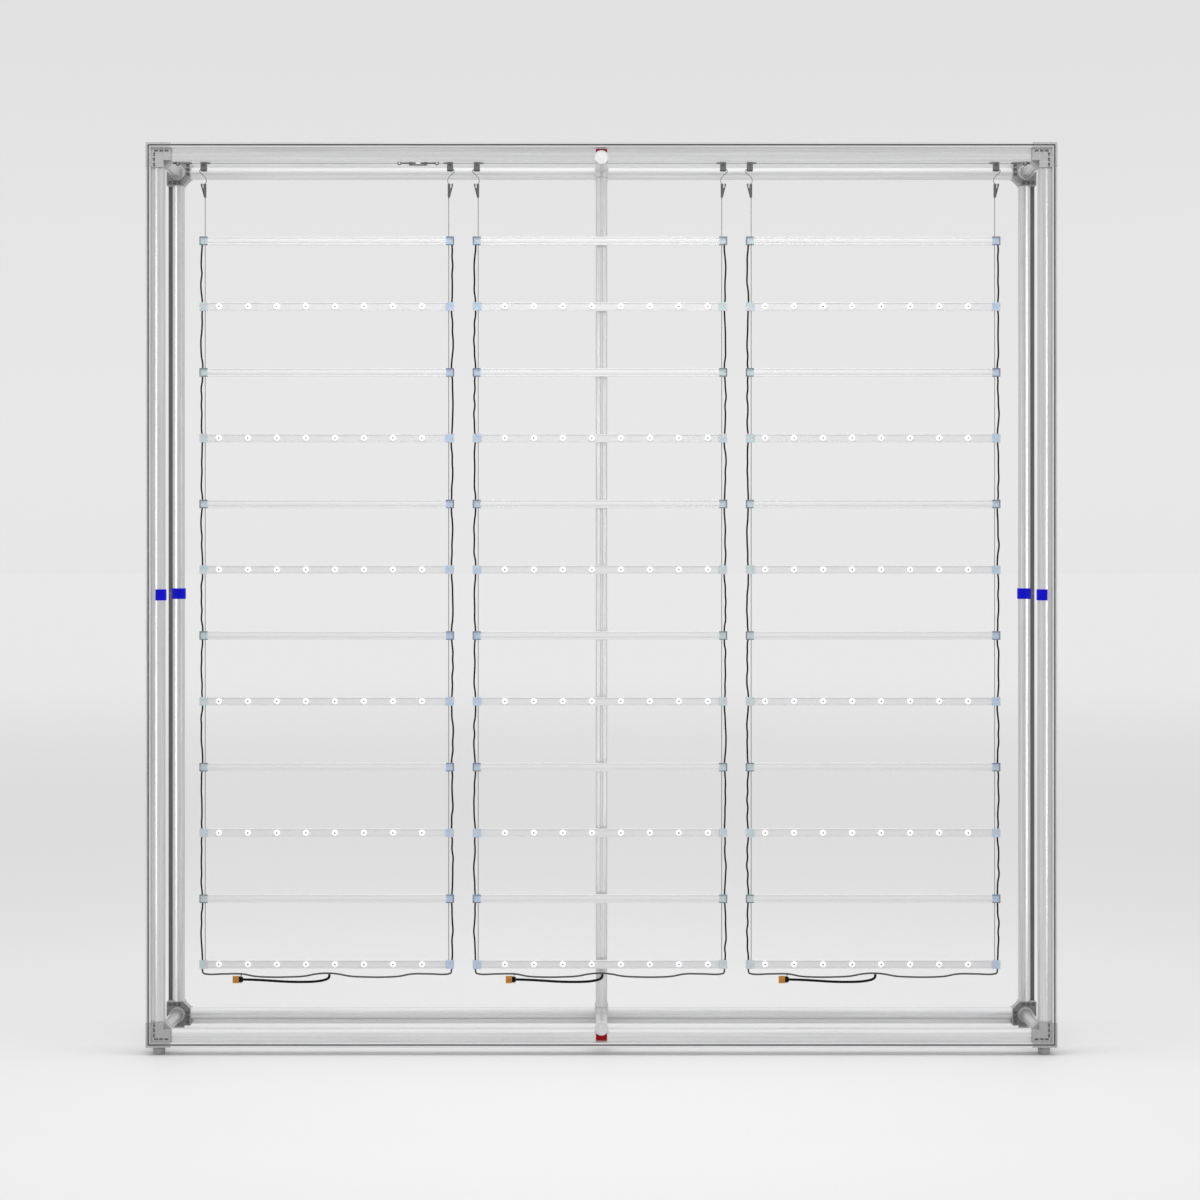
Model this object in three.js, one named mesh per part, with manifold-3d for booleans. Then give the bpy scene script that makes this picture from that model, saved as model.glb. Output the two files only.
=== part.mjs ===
// A free-standing double-sided lightbox frame for stretched fabric faces, shown without its
// fabric. Two square rings of hollow aluminium profile stand one behind the other, held apart
// by short depth tubes at the corners and by a spreader at the top and bottom centre. Three
// ladders of LED bars hang side by side from a tensioned wire halfway between the rings.
//
// Millimetres. X runs across the front, Y from front to rear, Z up, with the floor at Z = 0
// and the origin at the centre of the footprint.
import * as THREE from "three";
import { mergeVertices } from "three/addons/utils/BufferGeometryUtils.js";
import Module from "manifold-3d";

const wasm = await Module();
wasm.setup();

// Driving dimensions of the frame
const overallWidth = 2286;
const overallHeight = 2290;
const gap = 0.3;
const footHeight = 20;
const footRadius = 15;
const tubeRadius = 16;
const tubeWall = 2;
const tubeSpacing = 286;
const edgeToTube = 29;
const faceToTube = 27;

// Driving dimensions of the ladders
const ladderPitch = 699.5;
const ladderShift = -4;
const ladderY = -34;
const cordSpacing = 631;
const barCount = 12;
const barPitch = 168.5;
const lowestBarZ = 207;
const barHeight = 21;
const wireZ = 2260;

// Sizes that follow from them
const halfWidth = overallWidth / 2;
const frameHeight = overallHeight - footHeight;
const middleZ = footHeight + frameHeight / 2;
const tubeX = halfWidth - edgeToTube;
const tubeY = tubeSpacing / 2;
const faceY = tubeY + faceToTube;
const tubeTopZ = overallHeight - edgeToTube;
const tubeBottomZ = footHeight + edgeToTube;

// The fabric profile: a lip, the groove that takes the fabric's edge, a recessed web, the tube
const lip = 5;
const groove = 3;
const grooveDepth = 12;
const rimWidth = 13;
const rimDepth = 16;
const webFront = 12.5;

// Corner connectors
const armLength = 62;
const armWidth = 44;
const armFront = 4;
const armBack = 46;
const spigotLength = 30;
const spigotRadius = tubeRadius - tubeWall - 2 * gap;
const socketLength = 32;
const socketRadius = 20;
const socketFloor = 38;

// Collars, spreaders and the centre post
const collarLength = 28;
const collarOuter = 18.5;
const spreaderRadius = 15;
const capRadius = 17.5;
const capThickness = 5;
const topSpreaderZ = tubeTopZ - 8;
const bottomSpreaderZ = tubeBottomZ + 18;
const crossBoltRadius = 4;
const crossBoltDrop = tubeTopZ - topSpreaderZ;
const postRadius = 15;
const postWall = 2;
const teeSleeve = 2 * gap;
const teeRadius = 17.5;
const teeReach = 25;

// Hanging wire, turnbuckle, clamps and hooks
const wireRadius = 1.25;
const boreClearance = 0.4;
const turnbuckleX = -470;
const turnbuckleLength = 46;
const turnbuckleRod = 2;
const eyeRadius = 5;
const eyeThickness = 1.5;
const nearEyeRadius = 4;
const stopRadius = 2.5;
const clampWidth = 15.6;
const clampDepth = 12;
const clampTopZ = wireZ + 4;
const clampHeight = 25;
const stopLength = 9;
const pivotRise = 4.5;
const hookRadius = 1.2;
const pivotZ = clampTopZ - clampHeight + pivotRise;
const gripTopZ = 2207;
const gripLength = 36;
const gripThickness = 7;

// Bars, clips and wiring
const barThickness = 7;
const clipWidth = 21;
const clipHeight = 22;
const clipDepth = 12;
const cordInset = 3.5;
const cordRadius = 1;
const harnessRadius = 2.2;
const harnessBow = 3;
const leadRadius = 3.2;
const plugHeight = 18;

const aluminium = { color: 0xc9cbcc, roughness: 0.35, metalness: 0.9 };
const greyPlastic = { color: 0x9c9e9f, roughness: 0.55, metalness: 0.0 };
const bluePlastic = { color: 0x1212c8, roughness: 0.4, metalness: 0.0 };
const redPlastic = { color: 0x8e1416, roughness: 0.4, metalness: 0.0 };
const rubber = { color: 0xa7a8a8, roughness: 0.8, metalness: 0.0 };
const steel = { color: 0x8f9193, roughness: 0.3, metalness: 0.9 };
const barWhite = { color: 0xe9eaea, roughness: 0.45, metalness: 0.0 };
const blackCable = { color: 0x141414, roughness: 0.6, metalness: 0.0 };
const orangePlastic = { color: 0xc8862a, roughness: 0.45, metalness: 0.0 };

const object = new THREE.Group();

function addMesh(group, name, geometry, finish, position = [0, 0, 0]) {
  const mesh = new THREE.Mesh(geometry, new THREE.MeshStandardMaterial(finish));
  mesh.name = name;
  mesh.position.set(...position);
  group.add(mesh);
}

// Maps a geometry through a matrix, and turns its faces out again if the matrix mirrors it.
function mapped(geometry, matrix) {
  const copy = geometry.index ? geometry.toNonIndexed() : geometry.clone();
  copy.applyMatrix4(matrix);
  if (matrix.determinant() < 0) {
    const points = copy.attributes.position;
    const a = new THREE.Vector3();
    const b = new THREE.Vector3();
    for (let i = 0; i < points.count; i += 3) {
      a.fromBufferAttribute(points, i + 1);
      b.fromBufferAttribute(points, i + 2);
      points.setXYZ(i + 1, b.x, b.y, b.z);
      points.setXYZ(i + 2, a.x, a.y, a.z);
    }
    copy.computeVertexNormals();
  }
  return copy;
}

function mirrored(geometry, x, y, z) {
  return mapped(geometry, new THREE.Matrix4().makeScale(x, y, z));
}

function oriented(geometry, xAxis, yAxis, zAxis) {
  const axes = [xAxis, yAxis, zAxis].map((axis) => new THREE.Vector3(...axis));
  return mapped(geometry, new THREE.Matrix4().makeBasis(...axes));
}

function toSolid(geometry) {
  const bare = geometry.clone();
  bare.deleteAttribute("normal");
  bare.deleteAttribute("uv");
  const merged = mergeVertices(bare, 1e-4);
  return new wasm.Manifold(new wasm.Mesh({
    numProp: 3,
    vertProperties: new Float32Array(merged.attributes.position.array),
    triVerts: Uint32Array.from(merged.index.array),
  }));
}

function toGeometry(solid) {
  const mesh = solid.getMesh();
  const geometry = new THREE.BufferGeometry();
  geometry.setAttribute("position", new THREE.BufferAttribute(mesh.vertProperties, 3));
  geometry.setIndex(new THREE.BufferAttribute(mesh.triVerts, 1));
  return geometry;
}

function joined(...geometries) {
  return toGeometry(geometries.map(toSolid).reduce((sum, next) => sum.add(next)));
}

function cut(geometry, ...tools) {
  return toGeometry(tools.map(toSolid).reduce((rest, tool) => rest.subtract(tool), toSolid(geometry)));
}

function box(low, high) {
  const size = high.map((value, i) => value - low[i]);
  const middle = high.map((value, i) => (value + low[i]) / 2);
  return new THREE.BoxGeometry(...size).translate(...middle);
}

// A cylinder along one axis, from start to end, round the point (p, q) of the other two axes.
function rod(axis, radius, start, end, p, q, sides = 12) {
  const cylinder = new THREE.CylinderGeometry(radius, radius, end - start, sides);
  cylinder.translate(0, (start + end) / 2, 0);
  if (axis === "x") {
    return cylinder.rotateZ(-Math.PI / 2).translate(0, p, q);
  }
  if (axis === "y") {
    return cylinder.translate(p, 0, q);
  }
  return cylinder.rotateX(Math.PI / 2).translate(p, q, 0);
}

// A cylinder to cut with: its flats, rather than its corners, lie at the radius.
function borer(axis, radius, start, end, p, q, sides = 12) {
  return rod(axis, radius / Math.cos(Math.PI / sides), start, end, p, q, sides);
}

function extruded(shape, depth) {
  return new THREE.ExtrudeGeometry(shape, { depth, bevelEnabled: false, curveSegments: 8 });
}

function polygon(points) {
  return new THREE.Shape(points.map(([x, y]) => new THREE.Vector2(x, y)));
}

// A round wire of the given radius along a smooth curve through the points.
function bentWire(points, radius, steps, sides = 8) {
  const curve = new THREE.CatmullRomCurve3(
    points.map((point) => new THREE.Vector3(...point)), false, "catmullrom");
  const section = new THREE.Shape();
  for (let i = 0; i < sides; i += 1) {
    const angle = (i / sides) * 2 * Math.PI;
    const place = [radius * Math.cos(angle), radius * Math.sin(angle)];
    if (i === 0) {
      section.moveTo(...place);
    } else {
      section.lineTo(...place);
    }
  }
  section.closePath();
  return new THREE.ExtrudeGeometry(section, { steps, extrudePath: curve, bevelEnabled: false });
}

// The profile's section: x is the distance in from the frame's outer edge, y the depth behind
// the fabric face. The tube's arc starts and ends where the web runs into it.
function profileSection() {
  const frontDrop = faceToTube - webFront;
  const backDrop = faceToTube - rimDepth;
  const startAngle = -Math.PI + Math.asin(frontDrop / tubeRadius);
  const endAngle = Math.PI + Math.asin(backDrop / tubeRadius);
  const section = new THREE.Shape();
  section.moveTo(0, 0);
  section.lineTo(lip, 0);
  section.lineTo(lip, grooveDepth);
  section.lineTo(lip + groove, grooveDepth);
  section.lineTo(lip + groove, 0);
  section.lineTo(rimWidth, 0);
  section.lineTo(rimWidth, webFront);
  section.absarc(edgeToTube, faceToTube, tubeRadius, startAngle, endAngle, false);
  section.lineTo(0, rimDepth);
  section.closePath();
  const bore = new THREE.Path();
  bore.absarc(edgeToTube, faceToTube, tubeRadius - tubeWall, 0, 2 * Math.PI, false);
  section.holes.push(bore);
  return section;
}

function profile(length) {
  return extruded(profileSection(), length).translate(0, 0, -length / 2);
}

// A colour-coded splice collar: an open ring that snaps round the tube, clear of the web. Some
// reach on over the front of the web with a flat tab.
function collar(hasTab) {
  const startAngle = THREE.MathUtils.degToRad(-110);
  const endAngle = THREE.MathUtils.degToRad(212);
  const tabFront = webFront - 3;
  const tabEnd = rimWidth + 2;
  const ring = new THREE.Shape();
  if (hasTab) {
    ring.moveTo(tabEnd, webFront - gap);
    ring.lineTo(tabEnd, tabFront);
  }
  ring.absarc(edgeToTube, faceToTube, collarOuter, startAngle, endAngle, false);
  ring.absarc(edgeToTube, faceToTube, tubeRadius + gap, endAngle, startAngle, true);
  ring.closePath();
  return extruded(ring, collarLength).translate(0, 0, -collarLength / 2);
}

// A corner connector, drawn for the lower left front corner with that outer corner at the
// origin: x and z run in along the two arms and y runs back.
function cornerConnector() {
  const gussetLeg = armLength - armWidth;
  const outline = polygon([
    [armWidth, armWidth], [armWidth + gussetLeg, armWidth], [armWidth, armWidth + gussetLeg]]);
  const gusset = oriented(extruded(outline, armBack - rimDepth), [1, 0, 0], [0, 0, 1], [0, 1, 0]);
  gusset.translate(0, rimDepth, 0);
  const fillet = box([lip, rimDepth, lip], [armWidth + 1, armBack, armWidth + 1]);
  const body = joined(
    box([0, 0, 0], [armLength, rimDepth, rimWidth]),
    box([0, 0, 0], [rimWidth, rimDepth, armLength]),
    box([0, armFront, 0], [armLength, armBack, armWidth]),
    box([0, armFront, 0], [armWidth, armBack, armLength]),
    gusset,
    fillet,
    rod("y", socketRadius, faceToTube, faceToTube + socketLength, edgeToTube, edgeToTube, 16),
    rod("x", spigotRadius, armLength - 1, armLength + spigotLength, faceToTube, edgeToTube),
    rod("z", spigotRadius, armLength - 1, armLength + spigotLength, edgeToTube, faceToTube),
  );
  const past = armLength + 1;
  const grooves = [
    box([lip, -1, lip], [past, grooveDepth, lip + groove]),
    box([lip, -1, lip], [lip + groove, grooveDepth, past]),
  ];
  const depthBore = borer(
    "y", tubeRadius + gap, socketFloor, faceToTube + socketLength + 1, edgeToTube, edgeToTube, 16);
  return cut(body, ...grooves, depthBore, ...frontRecesses());
}

// Three moulded recesses in a row along the front of each arm. The upright arm's row starts
// further from the corner, so the two rows don't meet.
function frontRecesses() {
  const slotCount = 3;
  const slotPitch = 13;
  const slotLength = 9.5;
  const slotWidth = 5;
  const rowOffset = 18;
  const levelStart = 21;
  const uprightStart = 25;
  const floorY = armFront + 6;
  const slots = [];
  for (let i = 0; i < slotCount; i += 1) {
    const level = levelStart + i * slotPitch;
    const upright = uprightStart + i * slotPitch;
    const rowEnd = rowOffset + slotWidth;
    slots.push(box([level, 0, rowOffset], [level + slotLength, floorY, rowEnd]));
    slots.push(box([rowOffset, 0, upright], [rowEnd, floorY, upright + slotLength]));
  }
  return slots;
}

function foot() {
  const top = footHeight - gap;
  const chamfer = 1.5;
  const outline = [[0, 0], [footRadius - chamfer, 0], [footRadius, chamfer], [footRadius, top], [0, top]];
  const turned = new THREE.LatheGeometry(outline.map(([x, y]) => new THREE.Vector2(x, y)), 16);
  return turned.rotateX(Math.PI / 2);
}

function hollowTube(outer, wall, length) {
  const ring = new THREE.Shape();
  ring.absarc(0, 0, outer, 0, 2 * Math.PI, false);
  const bore = new THREE.Path();
  bore.absarc(0, 0, outer - wall, 0, 2 * Math.PI, false);
  ring.holes.push(bore);
  return extruded(ring, length);
}

// The centre post's tube has shallow flutes along its outside.
function flutedTube(length) {
  const fluteCount = 8;
  const fluteDepth = 0.9;
  const pointsPerFlute = 4;
  const total = fluteCount * pointsPerFlute;
  const outline = [];
  for (let i = 0; i < total; i += 1) {
    const angle = (i / total) * 2 * Math.PI;
    const radius = i % pointsPerFlute === 0 ? postRadius - fluteDepth : postRadius;
    outline.push([radius * Math.cos(angle), radius * Math.sin(angle)]);
  }
  const section = polygon(outline);
  const bore = new THREE.Path();
  bore.absarc(0, 0, postRadius - postWall, 0, 2 * Math.PI, false);
  section.holes.push(bore);
  return extruded(section, length);
}

// A centre spreader: a short rod from front to rear with a round cap in front of each tube and
// a tee that takes the post. up is 1 when the post stands above it and -1 when it hangs below.
function spreader(centreZ, up) {
  const collarZ = up > 0 ? tubeBottomZ : tubeTopZ;
  const clearance = collarOuter + gap;
  const capBack = tubeY + clearance;
  const reach = up > 0 ? capBack + 1 : tubeY;
  const across = 2 * spreaderRadius;
  const body = cut(
    rod("y", spreaderRadius, -reach, reach, 0, centreZ),
    borer("x", clearance, -across, across, -tubeY, collarZ, 16),
    borer("x", clearance, -across, across, tubeY, collarZ, 16),
  );
  const teeEnd = centreZ + up * teeReach;
  const sleeveEnd = teeEnd + up * teeReach;
  const parts = [
    body,
    rod("y", capRadius, -capBack - capThickness, -capBack, 0, centreZ, 16),
    rod("y", capRadius, capBack, capBack + capThickness, 0, centreZ, 16),
    rod("z", teeRadius, Math.min(centreZ, teeEnd), Math.max(centreZ, teeEnd), 0, 0, 16),
    rod("z", postRadius - postWall - teeSleeve, Math.min(centreZ, sleeveEnd),
      Math.max(centreZ, sleeveEnd), 0, 0),
  ];
  if (up < 0) {
    parts.push(rod("y", crossBoltRadius, -capBack - 1, capBack + 1, 0, centreZ, 12));
  }
  const wireHole = borer("x", wireRadius + boreClearance, -across, across, ladderY, wireZ);
  return up > 0 ? joined(...parts) : cut(joined(...parts), wireHole);
}

function buildFrame() {
  const frame = new THREE.Group();
  const runX = overallWidth - 2 * (armLength + gap);
  const runZ = frameHeight - 2 * (armLength + gap);
  const connector = cornerConnector();
  const boltHole = borer("y", crossBoltRadius + gap, -1, tubeSpacing, edgeToTube + crossBoltDrop, 0);
  for (const [side, y] of [["front", -1], ["rear", 1]]) {
    for (const [edge, z] of [["top", 1], ["bottom", -1]]) {
      const outerZ = z > 0 ? overallHeight : footHeight;
      const place = [0, y * faceY, outerZ];
      const straight = z > 0 ? cut(profile(runX), boltHole) : profile(runX);
      const tabbed = z > 0 ? cut(collar(true), boltHole) : collar(true);
      const turn = [[0, 0, -z], [0, -y, 0], [1, 0, 0]];
      addMesh(frame, `profile_${side}_${edge}`, oriented(straight, ...turn), aluminium, place);
      addMesh(frame, `collar_${side}_${edge}`, oriented(tabbed, ...turn), redPlastic, place);
    }
    for (const [end, x] of [["left", -1], ["right", 1]]) {
      const place = [x * halfWidth, y * faceY, middleZ];
      const turn = [[-x, 0, 0], [0, -y, 0], [0, 0, 1]];
      addMesh(frame, `profile_${side}_${end}`, oriented(profile(runZ), ...turn), aluminium, place);
      addMesh(frame, `collar_${side}_${end}`, oriented(collar(false), ...turn), bluePlastic, place);
      for (const [edge, z] of [["top", 1], ["bottom", -1]]) {
        const corner = [x * halfWidth, y * faceY, z > 0 ? overallHeight : footHeight];
        const shape = mirrored(connector, -x, -y, -z);
        addMesh(frame, `corner_${side}_${end}_${edge}`, shape, greyPlastic, corner);
      }
      addMesh(frame, `foot_${side}_${end}`, foot(), rubber, [x * tubeX, y * tubeY, 0]);
    }
  }
  const depthLength = 2 * (faceY - socketFloor - gap);
  for (const [end, x] of [["left", -1], ["right", 1]]) {
    for (const [edge, z] of [["top", tubeTopZ], ["bottom", tubeBottomZ]]) {
      const tube = hollowTube(tubeRadius, tubeWall, depthLength).rotateX(-Math.PI / 2);
      const place = [x * tubeX, -depthLength / 2, z];
      addMesh(frame, `depth_tube_${end}_${edge}`, tube, aluminium, place);
    }
  }
  addMesh(frame, "spreader_top", spreader(topSpreaderZ, -1), aluminium);
  addMesh(frame, "spreader_bottom", spreader(bottomSpreaderZ, 1), aluminium);
  const postBottom = bottomSpreaderZ + teeReach + gap;
  const postLength = topSpreaderZ - teeReach - gap - postBottom;
  addMesh(frame, "centre_post", flutedTube(postLength), aluminium, [0, 0, postBottom]);
  return frame;
}

// One half of the hanging wire, drawn from its screw eye at x = 0 towards the turnbuckle.
function wireHalf(length) {
  const eyeX = 12;
  const ferruleStart = 22;
  const ferruleLength = 26;
  const rodLength = 42;
  const rodStart = length - rodLength;
  const eye = new THREE.TorusGeometry(eyeRadius, eyeThickness, 5, 10).rotateX(Math.PI / 2);
  const nearEye = new THREE.TorusGeometry(nearEyeRadius, eyeThickness, 5, 10).rotateX(Math.PI / 2);
  return joined(
    rod("x", stopRadius, 0, eyeX - eyeRadius, 0, 0, 8),
    eye.translate(eyeX, 0, 0),
    rod("x", wireRadius, eyeX + eyeRadius, rodStart - nearEyeRadius, 0, 0, 6),
    rod("x", stopRadius, ferruleStart, ferruleStart + ferruleLength, 0, 0, 8),
    nearEye.translate(rodStart, 0, 0),
    rod("x", turnbuckleRod, rodStart + nearEyeRadius, length, 0, 0, 6),
  );
}

// The turnbuckle's body: two bored ends joined by two side bars, with the rods' ends between.
function turnbuckleBody() {
  const half = turnbuckleLength / 2;
  const endLength = 8;
  const halfDepth = 4.5;
  const halfHeight = 6;
  const halfWindow = 3.5;
  return cut(
    box([-half, -halfDepth, -halfHeight], [half, halfDepth, halfHeight]),
    box([-half + endLength, -halfHeight, -halfWindow], [half - endLength, halfHeight, halfWindow]),
    borer("x", turnbuckleRod + boreClearance, -half - 1, half + 1, 0, 0),
  );
}

function buildHangingWire() {
  const wire = new THREE.Group();
  wire.position.set(0, ladderY, wireZ);
  const eyeX = tubeX - tubeRadius - gap;
  const rodGap = 12;
  const leftLength = turnbuckleX - rodGap / 2 + eyeX;
  const rightLength = eyeX - turnbuckleX - rodGap / 2;
  addMesh(wire, "hanging_wire_left", wireHalf(leftLength), steel, [-eyeX, 0, 0]);
  addMesh(wire, "hanging_wire_right", mirrored(wireHalf(rightLength), -1, 1, 1), steel, [eyeX, 0, 0]);
  addMesh(wire, "turnbuckle", turnbuckleBody(), steel, [turnbuckleX, 0, 0]);
  return wire;
}

// A clamp block on the hanging wire, with its crimped stop on the side away from the hook.
function clamp() {
  const half = clampWidth / 2;
  const lowZ = clampTopZ - clampHeight - wireZ;
  const block = box([-half, -clampDepth / 2, lowZ], [half, clampDepth / 2, clampTopZ - wireZ]);
  const stop = rod("x", stopRadius, -half - stopLength, -half + 1, 0, 0, 8);
  return cut(
    joined(block, stop),
    borer("x", wireRadius + boreClearance, -half - stopLength - 1, half + 1, 0, 0, 8),
    borer("x", hookRadius + boreClearance, -half - 1, half + 1, 0, pivotZ - wireZ, 8),
  );
}

// A bent wire hook with the wedge grip that holds a suspension cord, for the right-hand side
// of a ladder. The cord hangs at x = 0 and the clamp block is centred at x = cordInset.
function hook() {
  const drop = gripTopZ - pivotZ;
  const farX = cordInset + clampWidth / 2;
  const wire = bentWire([
    [cordInset - clampWidth / 2, 0, 0],
    [cordInset, 0, 0],
    [farX, 0, 0],
    [farX + 2.4, 0, -1.8],
    [farX + 2, 0, -7],
    [cordInset, 0, -16],
    [-2.5, 0, -26],
    [0, 0, drop - 3],
  ], hookRadius, 14, 5);
  const grip = polygon([
    [-2.5, 0], [4, 0], [4, -11], [7, -11], [7, 0], [11, 0], [11, -4],
    [3, -gripLength + 1], [1.5, -gripLength], [-1.5, -gripLength], [-2.5, -gripLength + 4]]);
  const plate = oriented(extruded(grip, gripThickness), [1, 0, 0], [0, 0, 1], [0, -1, 0]);
  return joined(wire, plate.translate(0, gripThickness / 2, drop));
}

function barZ(row) {
  return lowestBarZ + (barCount - 1 - row) * barPitch;
}

// A ladder's net: bars and their end clips, the two suspension cords, the harness wires beside
// them and the jumper wire below the lowest bar.
function ladderNet() {
  const clipX = cordSpacing / 2;
  const cordX = clipX - cordInset;
  const pieces = [];
  for (let row = 0; row < barCount; row += 1) {
    const z = barZ(row);
    const halfBar = clipX - clipWidth / 2 + 1;
    pieces.push(box([-halfBar, -barThickness / 2, z - barHeight / 2],
      [halfBar, barThickness / 2, z + barHeight / 2]));
    for (const side of [-1, 1]) {
      const middle = side * clipX;
      pieces.push(box([middle - clipWidth / 2, -clipDepth / 2, z - clipHeight / 2],
        [middle + clipWidth / 2, clipDepth / 2, z + clipHeight / 2]));
    }
  }
  const cordTop = gripTopZ - gripLength - gap;
  for (const side of [-1, 1]) {
    pieces.push(rod("z", cordRadius, lowestBarZ, cordTop, side * cordX, 0, 4));
    pieces.push(harnessWire(side, clipX + cordInset));
  }
  pieces.push(jumperWire());
  return joined(...pieces);
}

function harnessWire(side, x) {
  const points = [];
  for (let row = 0; row < barCount; row += 1) {
    points.push([side * x, 0, barZ(row)]);
    if (row < barCount - 1) {
      points.push([side * (x + harnessBow), 0, barZ(row) - barPitch / 2]);
    }
  }
  return bentWire(points, harnessRadius, 2 * (barCount - 1), 4);
}

// Half of the jumper's route, chosen by hand: down out of an end clip, round a tight corner,
// along to a shallow dip, and up again to the middle.
const jumperRoute = [
  [319, 0, 201], [319, 0, 191], [317, 0, 184.6], [310, 0, 182], [262, 0, 182.2], [215, 0, 181.8],
  [186, 0, 176.4], [150, 0, 174.2], [100, 0, 174.4], [58, 0, 176.6], [28, 0, 182]];
const jumperMiddleZ = 184;

function jumperWire() {
  const left = jumperRoute.map(([x, y, z]) => [-x, y, z]);
  const right = [...jumperRoute].reverse();
  return bentWire([...left, [0, 0, jumperMiddleZ], ...right], harnessRadius, 28, 4);
}

// The lead's route from the jumper's middle down and round to the plug, chosen by hand.
const leadRoute = [
  [6, 0, 181], [6, 0, 177], [4.4, 0, 172.5], [0, 0, 169.2], [-8, 0, 166.4], [-19, 0, 164.2],
  [-32, 0, 162.7], [-50, 0, 161.9], [-82, 0, 161.8], [-114, 0, 162.9], [-146, 0, 164.9],
  [-180, 0, 166.8], [-215, 0, 168]];

function plug() {
  const [leadX, , leadZ] = leadRoute[leadRoute.length - 1];
  const bootLength = 10;
  const bootHeight = 17;
  const bodyLength = 17;
  const bodyDepth = 9;
  const bootX = leadX - gap;
  const bodyX = bootX - bootLength + 1;
  const boot = box([bootX - bootLength, -bodyDepth / 2, leadZ - bootHeight / 2],
    [bootX, bodyDepth / 2, leadZ + bootHeight / 2]);
  const body = box([bodyX - bodyLength, -bodyDepth / 2, leadZ - plugHeight / 2],
    [bodyX, bodyDepth / 2, leadZ + plugHeight / 2]);
  return joined(boot, body);
}

function buildLadder(side, x) {
  const ladder = new THREE.Group();
  ladder.position.set(x, ladderY, 0);
  addMesh(ladder, `ladder_${side}_net`, ladderNet(), barWhite);
  addMesh(ladder, `ladder_${side}_lead`, bentWire(leadRoute, leadRadius, 20, 8), blackCable);
  addMesh(ladder, `ladder_${side}_plug`, plug(), orangePlastic);
  const cordX = cordSpacing / 2 - cordInset;
  for (const [end, sign] of [["left", -1], ["right", 1]]) {
    const hookShape = mirrored(hook(), sign, 1, 1);
    const clampShape = mirrored(clamp(), sign, 1, 1);
    addMesh(ladder, `ladder_${side}_hook_${end}`, hookShape, steel, [sign * cordX, 0, pivotZ]);
    addMesh(ladder, `ladder_${side}_clamp_${end}`, clampShape, steel, [sign * (cordX + cordInset), 0, wireZ]);
  }
  return ladder;
}

object.add(buildFrame(), buildHangingWire());
["left", "centre", "right"].forEach((side, i) => {
  object.add(buildLadder(side, ladderShift + (i - 1) * ladderPitch));
});

export default object;
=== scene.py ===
# A free-standing lightbox frame without its fabric, lit by three hanging ladders of LED bars.
#
# Metres. X runs across the front, Y from front to rear, Z up, with the floor at Z = 0. Places are
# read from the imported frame. The sizes named here are those that the pieces' shapes need.
import math
import random

import bmesh
import bpy
from mathutils import Matrix, Vector


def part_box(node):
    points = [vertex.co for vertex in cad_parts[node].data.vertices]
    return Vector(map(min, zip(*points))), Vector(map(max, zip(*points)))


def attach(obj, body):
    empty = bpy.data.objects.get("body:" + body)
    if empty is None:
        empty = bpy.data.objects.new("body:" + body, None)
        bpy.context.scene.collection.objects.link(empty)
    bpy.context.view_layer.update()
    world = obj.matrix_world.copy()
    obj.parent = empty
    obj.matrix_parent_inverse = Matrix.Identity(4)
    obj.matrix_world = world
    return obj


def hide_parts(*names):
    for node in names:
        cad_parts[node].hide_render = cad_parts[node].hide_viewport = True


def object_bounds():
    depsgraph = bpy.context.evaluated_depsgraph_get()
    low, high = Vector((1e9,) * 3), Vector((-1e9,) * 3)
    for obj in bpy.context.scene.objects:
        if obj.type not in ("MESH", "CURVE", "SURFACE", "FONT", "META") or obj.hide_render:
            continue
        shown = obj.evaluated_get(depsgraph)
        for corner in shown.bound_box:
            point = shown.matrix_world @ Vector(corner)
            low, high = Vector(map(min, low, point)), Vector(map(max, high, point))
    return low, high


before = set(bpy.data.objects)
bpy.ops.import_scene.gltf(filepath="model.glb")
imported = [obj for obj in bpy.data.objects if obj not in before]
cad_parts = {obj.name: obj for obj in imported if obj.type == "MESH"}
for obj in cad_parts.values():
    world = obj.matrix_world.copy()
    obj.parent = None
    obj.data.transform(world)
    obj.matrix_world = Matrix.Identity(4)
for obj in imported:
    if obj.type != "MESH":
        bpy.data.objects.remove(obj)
cad_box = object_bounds()

MM = 0.001
GAP = 0.3 * MM
SIDES = (("left", -1), ("right", 1))
RINGS = (("front", -1), ("rear", 1))
LEVELS = (("bottom", -1), ("top", 1))
LADDERS = ("left", "centre", "right")

# The fabric profile's section, measured in from its outer edge and back from the fabric face
LIP = 5 * MM
GROOVE = 3 * MM
GROOVE_DEPTH = 12 * MM
RIM_WIDTH = 13 * MM
RIM_DEPTH = 16 * MM
WEB_FRONT = 12.5 * MM
TUBE_IN = 29 * MM
TUBE_BACK = 27 * MM
TUBE_RADIUS = 16 * MM
TUBE_WALL = 2 * MM

# Corner connectors
ARM_LENGTH = 62 * MM
ARM_WIDTH = 44 * MM
ARM_FRONT = 4 * MM
ARM_BACK = 46 * MM
SOCKET_RADIUS = 20 * MM
SOCKET_LENGTH = 32 * MM
SOCKET_FLOOR = 38 * MM
SPIGOT_LENGTH = 30 * MM
SPIGOT_RADIUS = TUBE_RADIUS - TUBE_WALL - 2 * GAP
RECESS_DEPTH = 6 * MM
POCKET_DEPTH = 5 * MM

# Collars, spreaders and the centre post
COLLAR_LENGTH = 28 * MM
COLLAR_RADIUS = 18.5 * MM
SPREADER_RADIUS = 15 * MM
CAP_RADIUS = 17.5 * MM
CAP_THICKNESS = 5 * MM
TEE_RADIUS = 17.5 * MM
TEE_REACH = 25 * MM
POST_RADIUS = 15 * MM
POST_WALL = 2 * MM
CROSS_BOLT_RADIUS = 4 * MM

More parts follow.
